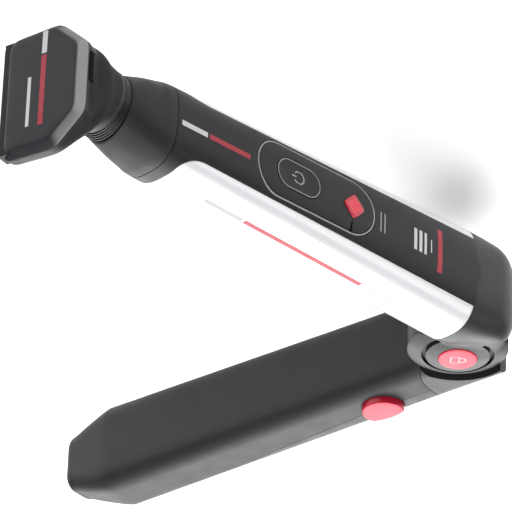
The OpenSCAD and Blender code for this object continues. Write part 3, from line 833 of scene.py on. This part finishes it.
def makeGrip():
    ds = spread(grip["start"] + 0.12, 66, 14)[:-1] + spread(66, grip["partingEnd"], 34)
    spine = Sheet()
    spine.grid([gripRow(d, "spine") for d in ds])
    inner = Sheet()
    inner.grid([gripRow(d, "inner") for d in ds])
    tip = grip["length"] - grip["tipRound"]
    tipDs = spread(grip["partingEnd"], grip["taperStart"], 9)[:-1] + spread(grip["taperStart"], tip, 12)[:-1]
    tipDs += [tip + grip["tipRound"] * math.sin(t) for t in spread(0, math.pi / 2, 10)]
    rows = []
    for d in tipDs:
        lead, rest = gripSection(d)
        upper = [(d, w, z) for w, z in lead[:-1] + rest]
        rows.append(upper + [(p[0], p[1], -p[2]) for p in reversed(upper[1:-1])])
    start = inner.grid(rows, wrap=True)
    inner.cap(start + len(rows[0]) * (len(rows) - 1), len(rows[0]))
    spinePiece = spine.piece("grip_spine", handleFrame, weld=0.01)
    modified(spinePiece, [walled(2.2), rounded(0.22)])
    innerPiece = inner.piece("grip_shell", handleFrame, weld=0.01)
    modified(innerPiece, [walled(2.2), rounded(0.22)])
    wells = []
    for piece in (spinePiece, innerPiece):
        well = halfMoon([(0.24, 17.2), (0.24, 26)]).piece("well", handleFrame)
        modified(piece, [cutBy(well), rounded(0.18, 2, 50)])
        wells.append(well)
    dropped(*wells)
    finished(spinePiece, look["spineAbs"], "grip", ["grip_outer_cover"])
    finished(innerPiece, look["softTouch"], "grip", ["grip_inner_shell"])


moon = {"d": 57.3, "w": 20.7, "radius": 10.0, "cutReach": 6.0, "cutRadius": 24.0}


def moonLoop(grow, z, count=96):
    # a circle whose outer side is cut off by a shallow arc
    r, arc = moon["radius"] + grow, moon["cutRadius"]
    centre = moon["w"] + moon["cutReach"] + grow - arc
    loop = []
    for i in range(count):
        t = 2 * math.pi * i / count
        c, s = math.cos(t), math.sin(t)
        reach = r
        off = moon["w"] - centre
        if s > 0:   # distance to the cutting arc in this direction
            b = off * s
            hit = -b + math.sqrt(max(0.0, b * b - off * off + arc * arc))
            reach = min(r, hit)
        loop.append((moon["d"] + reach * c, moon["w"] + reach * s, z))
    return loop


def halfMoon(profile, crown=()):
    # the crown's rings shrink towards the middle: (share of the way, height)
    sheet = Sheet()
    rings = [moonLoop(grow, z) for grow, z in profile]
    middle = (moon["d"], moon["w"] - 1.6)
    for share, z in crown:
        rings.append([(x + (middle[0] - x) * share, y + (middle[1] - y) * share, z)
                      for x, y, _ in rings[len(profile) - 1]])
    start = sheet.grid(rings, wrap=True)
    sheet.cap(start, 96)
    sheet.cap(start + 96 * (len(rings) - 1), 96, True)
    return sheet


makeGrip()
moonProfile = [(0.0, 18.2), (0.0, 23.3), (-0.1, 23.7), (-0.35, 24.0), (-0.8, 24.12)]
moonCrown = [(0.3, 24.17), (0.6, 24.2), (0.97, 24.2)]
moonButton = halfMoon(moonProfile, moonCrown).piece("extension_key", handleFrame, weld=0.001)
finished(moonButton, [look["redPolycarbonate"], look["frostedRedPaintedHighlight"]], "extension_lock", ["extension_button"])
# painted highlight: the faces turned up get the paler red
for face in moonButton.data.polygons:
    face.material_index = 1 if face.normal.z > 0.93 else 0


def makeArm():
    sheet = Sheet()
    rows = []
    for d in spread(-6.2, grip["start"] - 0.12, 22):
        lead, rest = gripSection(max(d, grip["start"] - 8))
        k = smooth((d + 6.2) / 28)
        upper = [(d - k * seamBend(w) * smooth((d - 10) / 18), w, z) for w, z in lead[:-1] + rest]
        rows.append(upper + [(p[0], p[1], -p[2]) for p in reversed(upper[1:-1])])
    start = sheet.grid(rows, wrap=True)
    count = len(rows[0])
    sheet.cap(start, count)
    sheet.cap(start + count * (len(rows) - 1), count, True)
    arm = sheet.piece("arm_shell", handleFrame, weld=0.002)
    cuts = [turned([(25.3, 9.2 * s), (25.3, 40 * s)], 192).piece("cut", handleFrame) for s in (1, -1)]
    modified(arm, [cutBy(c) for c in cuts] + [rounded(0.45, 3, 40)])
    dropped(*cuts)
    barrel = turned([(4.1, -9.2), (22.1, -9.2), (22.6, -8.7), (22.6, 8.7), (22.1, 9.2), (9.62, 9.2),
                     (9.62, 1.6), (4.1, 1.6)], 160).piece("arm_barrel", handleFrame)
    finished(arm, look["spineAbs"], "arm", ["hinge_arm"])
    finished(barrel, look["spineAbs"], "arm", ())


makeArm()
print("handle made")


# nose, neck and head
def makeNose():
    # station along the body, half depth, half width, squareness
    keys = [(201.5, 17.3, 20.6, 2.8), (205.5, 17.15, 20.35, 2.7), (209, 16.9, 19.8, 2.5),
            (213, 16.7, 19.0, 2.4), (217, 16.4, 18.1, 2.25),
            (221.5, 15.9, 16.8, 2.1), (225.0, 15.4, 15.7, 2.0)]
    xs = [k[0] for k in keys]
    sheet = Sheet()
    rings = []
    stations = spread(201.5, 225.0, 30)
    for x in stations:
        a, b, n = (float(curve(x, xs, [k[i] for k in keys])) for i in (1, 2, 3))
        rings.append([noseRing(x, a, b, n, i) for i in range(128)])
    for inset, x in ((0.25, 225.35), (0.7, 225.5), (2.6, 225.5), (2.8, 222.0)):
        rings.append([noseRing(x, 15.4 - inset, 15.7 - inset, 2.0, i) for i in range(128)])
    start = sheet.grid(rings, wrap=True)
    sheet.cap(start, 128)
    sheet.cap(start + 128 * (len(rings) - 1), 128, True)
    nose = sheet.piece("nose_shell", weld=0.002)
    modified(nose, [rounded(0.3, 3, 50)])
    return finished(nose, look["noseAbs"], "attachment", ["nose_cone"])


def noseRing(x, a, b, n, i):
    t = 2 * math.pi * (i + 0.5) / 128
    c, s = math.cos(t), math.sin(t)
    return (x, body["middleY"] - a * math.copysign(abs(c) ** (2 / n), c),
            b * math.copysign(abs(s) ** (2 / n), s))


def curve(x, xs, ys):
    # smooth curve through a few stations (cubic Hermite with averaged slopes)
    end = len(xs) - 1
    slopes = [(ys[min(i + 1, end)] - ys[max(i - 1, 0)]) / (xs[min(i + 1, end)] - xs[max(i - 1, 0)])
              for i in range(len(xs))]
    k = max(0, min(len(xs) - 2, sum(1 for v in xs[1:-1] if v <= x)))
    h = xs[k + 1] - xs[k]
    u = (x - xs[k]) / h
    return ((2 * u ** 3 - 3 * u ** 2 + 1) * ys[k] + (u ** 3 - 2 * u ** 2 + u) * h * slopes[k]
            + (3 * u ** 2 - 2 * u ** 3) * ys[k + 1] + (u ** 3 - u ** 2) * h * slopes[k + 1])


neck = {"ribs": 5, "radius": 14.25, "ribRadius": 0.62, "inner": 12.6}


def bellowsPlace(k):
    # from the nose (0) to the tilted neck ring (1), in the head's frame
    turn = -headTurn * (1 - k)
    return Matrix.Translation((7.75 * k - 3.15, 0.78 * (k - 1), 0)) @ Matrix.Rotation(turn, 4, "Z")


def makeBellowsTube():
    sheet = Sheet()
    rows = []
    for r, ks in ((neck["radius"], spread(0.0, 1.0, 25)), (neck["inner"], spread(1.0, 0.0, 5))):
        for k in ks:
            m = bellowsPlace(k)
            rows.append([tuple(m @ Vector((0, r * math.cos(a), r * math.sin(a))))
                         for a in (2 * math.pi * i / 96 for i in range(96))])
    sheet.grid(rows + rows[:1], wrap=True)
    return sheet.piece("bellows_tube", headFrame, weld=0.001)


def ribTree(material):
    tree = bpy.data.node_groups.new("bellowsRibs", "GeometryNodeTree")
    for name, kind in (("Ribs", "NodeSocketInt"), ("Radius", "NodeSocketFloat"),
                       ("Rib radius", "NodeSocketFloat"), ("Length", "NodeSocketFloat"),
                       ("Turn", "NodeSocketFloat")):
        tree.interface.new_socket(name, in_out="INPUT", socket_type=kind)
    tree.interface.new_socket("Geometry", in_out="OUTPUT", socket_type="NodeSocketGeometry")
    given = addNode(tree, "NodeGroupInput").outputs
    line = addNode(tree, "GeometryNodeMeshLine", {"Count": given["Ribs"]}, mode="OFFSET")
    step = addNode(tree, "ShaderNodeCombineXYZ", {"X": given["Length"]})
    tree.links.new(step.outputs[0], line.inputs["Offset"])
    ring = addNode(tree, "GeometryNodeCurvePrimitiveCircle", {"Resolution": 96, "Radius": given["Radius"]})
    section = addNode(tree, "GeometryNodeCurvePrimitiveCircle",
                      {"Resolution": 12, "Radius": given["Rib radius"]})
    rib = addNode(tree, "GeometryNodeCurveToMesh", {"Curve": ring.outputs["Curve"],
                                                    "Profile Curve": section.outputs["Curve"]})
    index = addNode(tree, "GeometryNodeInputIndex")
    turn = addNode(tree, "ShaderNodeMath", {0: index.outputs[0], 1: given["Turn"]}, operation="MULTIPLY")
    start = addNode(tree, "ShaderNodeMath", {0: -headTurn * 0.9, 1: turn.outputs[0]},
                    operation="SUBTRACT")
    angles = addNode(tree, "ShaderNodeCombineXYZ", {"Y": math.pi / 2, "Z": start.outputs[0]})
    placed = addNode(tree, "GeometryNodeInstanceOnPoints",
                     {"Points": line.outputs[0], "Instance": rib.outputs[0]})
    tree.links.new(addNode(tree, "FunctionNodeEulerToRotation", {0: angles.outputs[0]}).outputs[0],
                   placed.inputs["Rotation"])
    real = addNode(tree, "GeometryNodeRealizeInstances", {0: placed.outputs[0]})
    painted = addNode(tree, "GeometryNodeSetMaterial", {"Geometry": real.outputs[0], "Material": material})
    out = addNode(tree, "NodeGroupOutput")
    tree.links.new(painted.outputs[0], out.inputs[0])
    return tree


def grown(name, tree, values, place):
    # runs a geometry node tree on an empty mesh and keeps the result as a plain mesh
    piece = bpy.data.objects.new(name, bpy.data.meshes.new(name))
    bpy.context.scene.collection.objects.link(piece)
    modifier = piece.modifiers.new("grow", "NODES")
    modifier.node_group = tree
    for item in tree.interface.items_tree:
        if item.in_out == "INPUT" and item.name in values:
            modifier[item.identifier] = values[item.name]
    bpy.context.view_layer.update()
    mesh = bpy.data.meshes.new_from_object(piece.evaluated_get(bpy.context.evaluated_depsgraph_get()))
    piece.modifiers.clear()
    piece.data = mesh
    bm = bmesh.new()
    bm.from_mesh(mesh)
    bmesh.ops.recalc_face_normals(bm, faces=bm.faces)
    bm.to_mesh(mesh)
    bm.free()
    mesh.transform(place)
    return piece


bellowsTube = makeBellowsTube()
finished(bellowsTube, look["blackSilicone"], None, ["bellows"])
ribPlace = headFrame @ Matrix.Translation((-2.45, -0.7, 0))
ribs = grown("bellows_ribs", ribTree(look["blackSilicone"]),
             {"Ribs": neck["ribs"], "Radius": neck["radius"] + 0.15, "Rib radius": neck["ribRadius"],
              "Length": 1.6, "Turn": -headTurn / neck["ribs"]}, ribPlace)
ribs.data.shade_smooth()
for piece in (bellowsTube, ribs):
    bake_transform(piece)
makeNose()

head = {
    "outline": [(-8, 17), (7, 31), (33.4, 30)],   # across the face and half its length at each corner
    "centre": 11.0, "face": 26.2,
}


def headRadius(grow, corner, count=192):
    # distance from the plate's centre to its outline in each direction, with soft corners
    half = head["outline"]
    pts = [(y, z) for y, z in half] + [(y, -z) for y, z in reversed(half)]
    radii = []
    for i in range(count):
        t = 2 * math.pi * (i + 0.5) / count
        dy, dz = math.cos(t), math.sin(t)
        best = 1e9
        for (ay, az), (by, bz) in zip(pts, pts[1:] + pts[:1]):
            ey, ez = by - ay, bz - az
            length = math.hypot(ey, ez)
            ny, nz = ez / length, -ey / length
            if ny * (ay - head["centre"]) + nz * az < 0:
                ny, nz = -ny, -nz
            away = ny * (ay - head["centre"]) + nz * az + grow
            facing = ny * dy + nz * dz
            if facing > 1e-6:
                best = min(best, away / facing)
        radii.append(best)
    radii = np.array(radii)
    reach = max(1, int(round(corner * count / 360)))
    kernel = np.hanning(2 * reach + 3)[1:-1]
    kernel /= kernel.sum()
    padded = np.concatenate([radii[-reach:], radii, radii[:reach]])
    return np.convolve(padded, kernel, mode="valid")


def headLoop(x, radii, centre):
    count = len(radii)
    turns = [2 * math.pi * (i + 0.5) / count for i in range(count)]
    return [(x, centre + r * math.cos(t), r * math.sin(t)) for r, t in zip(radii, turns)]


def ovalRadii(a, b, n, count=192):
    out = []
    for i in range(count):
        t = 2 * math.pi * (i + 0.5) / count
        out.append((abs(math.cos(t) / a) ** n + abs(math.sin(t) / b) ** n) ** (-1 / n))
    return np.array(out)


def makeRearHousing():
    keys = [(6.75, ovalRadii(15.4, 15.4, 2), 0.0), (9.2, ovalRadii(16.6, 18.0, 2.3), 3.0),
            (12.0, ovalRadii(19.2, 22.6, 2.5), 7.0), (15.0, 0.35 * ovalRadii(19.8, 27.0, 2.7) + 0.65 *
             headRadius(-2.2, 16), 9.8), (17.6, headRadius(-0.5, 11), 10.9), (20.0, headRadius(0, 9), 11.0)]
    xs = [k[0] for k in keys]
    stations = spread(6.75, 20.0, 40)
    loops = []
    for x in stations:
        radii = np.array([float(curve(x, xs, [k[1][i] for k in keys])) for i in range(192)])
        loops.append(headLoop(x, radii, float(curve(x, xs, [k[2] for k in keys]))))
    sheet = Sheet()
    start = sheet.grid(loops, wrap=True)
    shell = sheet.piece("head_rear_shell", headFrame, weld=0.002)
    opening = boxSheet((17.6, 28.2, -28.1), (21, 40, 28.1)).piece("opening", headFrame)
    modified(shell, [walled(1.8)])
    modified(shell, [cutBy(opening, True), rounded(0.3, 3, 44)])
    dropped(opening)
    return finished(shell, look["noseAbs"], "head", ["head_rear_housing"])


def boxSheet(low, high):
    sheet = Sheet()
    x0, y0, z0 = low
    x1, y1, z1 = high
    rows = [[(x, y0, z0), (x, y1, z0), (x, y1, z1), (x, y0, z1)] for x in (x0, x1)]
    start = sheet.grid(rows, wrap=True)
    sheet.cap(start, 4)
    sheet.cap(start + 4, 4, True)
    return sheet


def makeFrontCap():
    profile = [(20.15, 0.0, 9), (22.2, 0.0, 9), (22.6, -0.12, 9), (22.95, -0.4, 9), (24.2, -1.5, 9.5),
               (25.3, -2.55, 10), (25.75, -3.05, 10), (26.0, -3.6, 10), (26.1, -4.4, 10), (26.16, -8, 12),
               (head["face"], -14, 16)]
    loops = [headLoop(x, headRadius(g, c), head["centre"]) for x, g, c in profile]
    loops.append([(head["face"], head["centre"], 0.0)] * 192)
    sheet = Sheet()
    sheet.grid(loops, wrap=True)
    cap = sheet.piece("head_front_shell", headFrame, weld=0.0015)
    opening = boxSheet((17.0, 28.2, -28.1), (24.8, 40, 28.1)).piece("opening", headFrame)
    modified(cap, [walled(1.6)])
    modified(cap, [cutBy(opening, True), rounded(0.25, 3, 50)])
    dropped(opening)
    # how much painted highlight each point gets on the chamfer, from which way its normal faces
    polishAndPaintedHighlight = cap.data.attributes.new("polishAndPaintedHighlight", "FLOAT", "POINT")
    turnBack = Matrix.Rotation(-headTurn, 3, "Z")
    for v in cap.data.vertices:
        n = turnBack @ v.normal
        polishAndPaintedHighlight.data[v.index].value = smooth((-n.y - 0.3) / 0.35) * smooth((n.x - 0.15) / 0.3)
    return finished(cap, look["coolSatin"], "head", ["head_front_cover"])


makeRearHousing()
makeFrontCap()


def slitTree(material):
    # a row of narrow slits on each foil
    tree = bpy.data.node_groups.new("foilSlits", "GeometryNodeTree")
    for name, kind in (("Slits", "NodeSocketInt"), ("Pitch", "NodeSocketFloat"), ("Foils", "NodeSocketInt"),
                       ("Foil gap", "NodeSocketFloat"), ("Size", "NodeSocketVector")):
        tree.interface.new_socket(name, in_out="INPUT", socket_type=kind)
    tree.interface.new_socket("Geometry", in_out="OUTPUT", socket_type="NodeSocketGeometry")
    given = addNode(tree, "NodeGroupInput").outputs
    row = addNode(tree, "GeometryNodeMeshLine", {"Count": given["Slits"]}, mode="OFFSET")
    step = addNode(tree, "ShaderNodeCombineXYZ", {"Z": given["Pitch"]})
    tree.links.new(step.outputs[0], row.inputs["Offset"])
    pair = addNode(tree, "GeometryNodeMeshLine", {"Count": given["Foils"]}, mode="OFFSET")
    across = addNode(tree, "ShaderNodeCombineXYZ", {"X": given["Foil gap"]})
    tree.links.new(across.outputs[0], pair.inputs["Offset"])
    slit = addNode(tree, "GeometryNodeMeshCube", {"Size": given["Size"]})
    along = addNode(tree, "GeometryNodeInstanceOnPoints",
                    {"Points": row.outputs[0], "Instance": slit.outputs[0]})
    both = addNode(tree, "GeometryNodeInstanceOnPoints",
                   {"Points": pair.outputs[0], "Instance": along.outputs[0]})
    real = addNode(tree, "GeometryNodeRealizeInstances", {0: both.outputs[0]})
    painted = addNode(tree, "GeometryNodeSetMaterial", {"Geometry": real.outputs[0], "Material": material})
    tree.links.new(painted.outputs[0], addNode(tree, "NodeGroupOutput").inputs[0])
    return tree


foil = {"slits": 61, "pitch": 0.8, "firstX": 19.7, "apart": 3.2, "top": 36.03, "width": 1.5, "slit": 0.28}
slitPlace = (foil["firstX"], foil["top"], -0.5 * foil["pitch"] * (foil["slits"] - 1))
slits = grown("foil_slits", slitTree(look["blackAcetalAndPaintedShade"]),
              {"Slits": foil["slits"], "Pitch": foil["pitch"], "Foils": 2, "Foil gap": foil["apart"],
               "Size": (foil["width"], 0.1, foil["slit"])},
              headFrame @ Matrix.Translation(slitPlace))
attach(slits, "head")
print("head made")

# printed marks and key symbols
def facePoint(y, z, lift):
    return (head["face"] + lift, y, z)


def printed(name, place, ranges, material, bodyName, frameAt=None):
    # thin ink patches that lie on a surface: place(u, v, lift) gives the surface
    sheet = Sheet()
    for u0, u1, v0, v1 in ranges:
        rows, cols = int(abs(u1 - u0)) + 3, int(abs(v1 - v0) / 0.7) + 3
        sheet.grid([[place(u, v, 0.05) for v in spread(v0, v1, cols)] for u in spread(u0, u1, rows)])
    piece = sheet.piece(name, frameAt, weld=0.0005)
    modified(piece, [walled(0.09)])
    return finished(piece, look[material], bodyName)


def inkLine(name, place, lines, half, material, bodyName, frameAt=None):
    # lines of constant width: each is a list of (u, v), closed when its ends meet
    sheet = Sheet()
    for line in lines:
        rows = []
        for i, (u, v) in enumerate(line):
            a, b = line[max(0, i - 1)], line[min(len(line) - 1, i + 1)]
            if line[0] == line[-1] and i in (0, len(line) - 1):
                a, b = line[-2], line[1]
            du, dv = b[0] - a[0], b[1] - a[1]
            length = math.hypot(du, dv)
            nu, nv = -dv / length * half, du / length * half
            rows.append([place(u + nu, v + nv, 0.04), place(u - nu, v - nv, 0.04)])
        sheet.grid(rows)
    piece = sheet.piece(name, frameAt, weld=0.0005)
    modified(piece, [walled(0.08)])
    return finished(piece, look[material], bodyName)


def arcLine(u, v, radius, start, stop, count=40):
    return [(u + radius * math.cos(a), v + radius * math.sin(a))
            for a in spread(math.radians(start), math.radians(stop), count)]


def onPanel(x, y, lift):
    return bodyPoint(x, angleAtY(y), lift)


printed("front_line_pale", onFront, [(184.5, 199.0, 0.9, 3.3)], "paleInk", "housing")
printed("front_line_red", onFront, [(160.0, 183.3, 0.9, 3.3)], "redInk", "housing")
printed("front_bars_pale", onFront, [(59.6, 61.4, -5.4, 5.4), (56.4, 58.2, -5.4, 5.4),
                                     (53.6, 55.0, -5.4, 5.4), (50.4, 51.0, -3.2, 3.2)], "paleInk", "housing")
printed("front_bar_red", onFront, [(43.8, 46.6, -11.0, 11.0)], "redInk", "housing")
printed("front_ticks", onFront, [(81.6, 82.2, -4.5, 5.5), (79.2, 79.8, -4.5, 5.5)], "greyInk", "housing")
printed("side_line_grey", onPanel, [(149.0, 171.0, -19.0, -16.4)], "greyInk", "housing")
printed("side_line_red", onPanel, [(78.5, 148.0, -19.0, -16.4)], "redInk", "housing")
printed("side_line_fine", onPanel, [(52.0, 76.0, -19.4, -18.6)], "greyInk", "housing")
printed("head_line_pale", facePoint, [(10.9, 13.5, -27.0, -16.0), (18.2, 19.9, -6.0, 18.5)],
        "paleInk", "head", headFrame)
printed("head_line_red", facePoint, [(10.9, 13.5, -15.0, 19.5)], "redInk", "head", headFrame)


def onPowerKey(u, v, lift):
    return onFront(powerKey["x"] + u, v, lift)


def onLockKey(u, v, lift):
    return (u, v, 24.09 + lift)


inkLine("power_symbol", onPowerKey, [arcLine(0, 0, 2.9, 35, 325), [(1.6, 0.0), (2.6, 0.0), (4.1, 0.0)]], 0.32,
        "greyInk", "power_key")
lockSymbol = [[(-2.6, -3.2), (2.6, -3.2), (2.6, 0.6), (-2.6, 0.6), (-2.6, -3.2)],
              [(-1.7, 0.6), (-1.7, 2.0)] + arcLine(0, 2.0, 1.7, 180, 0, 16) + [(1.7, 0.6)]]
lockTurn = Matrix.Rotation(math.radians(132), 4, "Z")
inkLine("lock_symbol", onLockKey, lockSymbol, 0.3, "paleRedInk", "hinge_lock", bodyFrame @ lockTurn)
print("marks made")

# floor, light, camera
floorMesh = bpy.data.meshes.new("floor")
low = min(cadBox[0][2], 0.0) - 0.025
floorMesh.from_pydata([(-6, -6, low), (6, -6, low), (6, 6, low), (-6, 6, low)], [], [(0, 1, 2, 3)])
floor = bpy.data.objects.new("floor", floorMesh)
bpy.context.scene.collection.objects.link(floor)
floorMaterial = bpy.data.materials.new("paleFloor")
floorMaterial.use_nodes = True
floorShader = floorMaterial.node_tree.nodes["Principled BSDF"]
floorShader.inputs["Base Color"].default_value = linear("f4f4f4")
floorShader.inputs["Roughness"].default_value = 0.9
floorShader.inputs["Specular IOR Level"].default_value = 0.1
floorMesh.materials.append(floorMaterial)

world = bpy.data.worlds.new("studio")
bpy.context.scene.world = world
world.use_nodes = True
world.node_tree.nodes["Background"].inputs["Color"].default_value = (1, 1, 1, 1)
world.node_tree.nodes["Background"].inputs["Strength"].default_value = 0.22

def direction(azimuth, elevation):
    return Vector((math.sin(azimuth) * math.cos(elevation), -math.cos(azimuth) * math.cos(elevation),
                   math.sin(elevation)))


studio = {
    # name: azimuth, elevation, distance, size, power
    "overhead": (60, 84, 1.6, 2.2, 44.0),
    "behind": (222, 33, 1.5, 1.6, 40.0),
    "front": (-40, 20, 1.8, 0.6, 3.0),
}
aim = Vector((0.12, 0.02, middleZ))
for name, (azimuth, elevation, distance, size, power) in studio.items():
    lamp = bpy.data.lights.new(name, "AREA")
    lamp.shape = "SQUARE"
    lamp.size = size
    lamp.energy = power
    holder = bpy.data.objects.new(name, lamp)
    back = direction(math.radians(azimuth), math.radians(elevation))
    holder.location = aim + back * distance
    holder.rotation_euler = back.to_track_quat("Z", "Y").to_euler()
    bpy.context.scene.collection.objects.link(holder)

shot = {"azimuth": 41.932, "elevation": 30.652, "roll": 181.9, "distance": 1.8022, "focal": 291.452,
        "target": (0.124573, 0.0, middleZ + 0.0222)}
a, e, roll = (math.radians(shot[k]) for k in ("azimuth", "elevation", "roll"))
back = direction(a, e)
side = Vector((math.cos(a), math.sin(a), 0))
up = back.cross(side)
right = math.cos(roll) * side + math.sin(roll) * up
upward = -math.sin(roll) * side + math.cos(roll) * up
lens = bpy.data.cameras.new("camera")
lens.sensor_width = 36
lens.lens = shot["focal"]
lens.clip_start, lens.clip_end = 0.05, 50
camera = bpy.data.objects.new("camera", lens)
matrix = Matrix((right, upward, back)).transposed().to_4x4()
matrix.translation = Vector(shot["target"]) + back * shot["distance"]
camera.matrix_world = matrix
bpy.context.scene.collection.objects.link(camera)
bpy.context.scene.camera = camera
bpy.context.scene.view_settings.view_transform = "Standard"
print("stage set")
